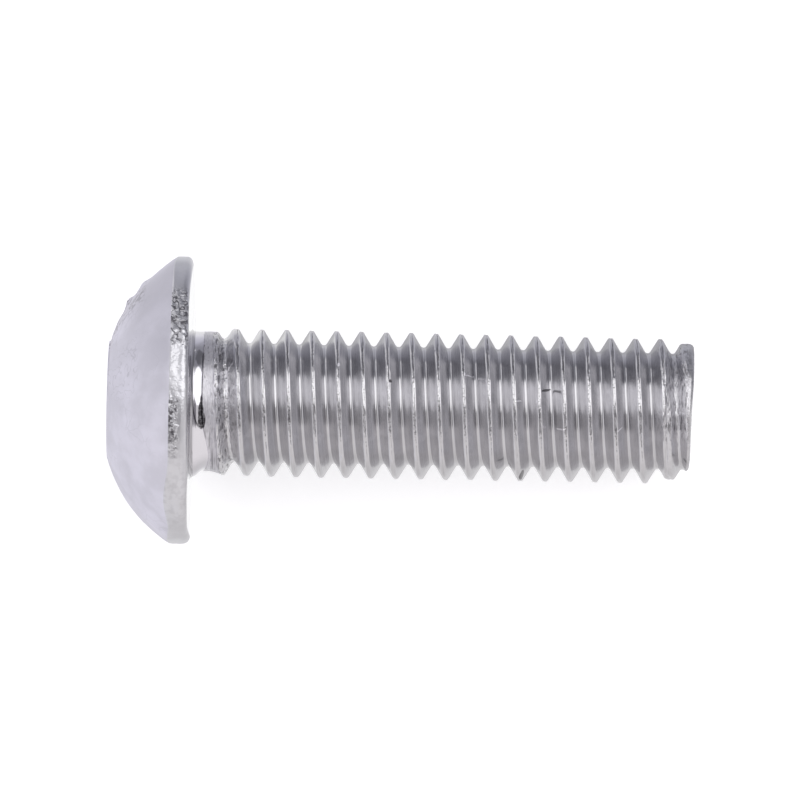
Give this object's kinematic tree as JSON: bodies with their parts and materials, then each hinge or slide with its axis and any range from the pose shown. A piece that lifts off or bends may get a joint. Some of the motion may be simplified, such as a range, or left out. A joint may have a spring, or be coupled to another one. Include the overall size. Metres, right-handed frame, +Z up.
{
  "type": "button head screw",
  "caption": "Button head screw: low domed head with a hexagon socket, short plain neck, rolled metric thread down to a chamfered tip, in bare stainless steel.",
  "frame": {"origin": "on the table under the middle of the screw as it lies: centre of the bounding box in X and Y, lowest point in Z", "axes": "+Z up from the table; +X along the lying screw from its head towards its tip, with the tip dipping by 8.35 degrees; +Y to the left of that"},
  "size_m": [0.0118, 0.0056, 0.0057],
  "materials": {
    "steel": "bare stainless steel: matte tumbled head, rough rim, bright burnished rolled thread"
  },
  "bodies": {
    "root": {"button_head_screw": "steel"}
  },
  "joints": []
}
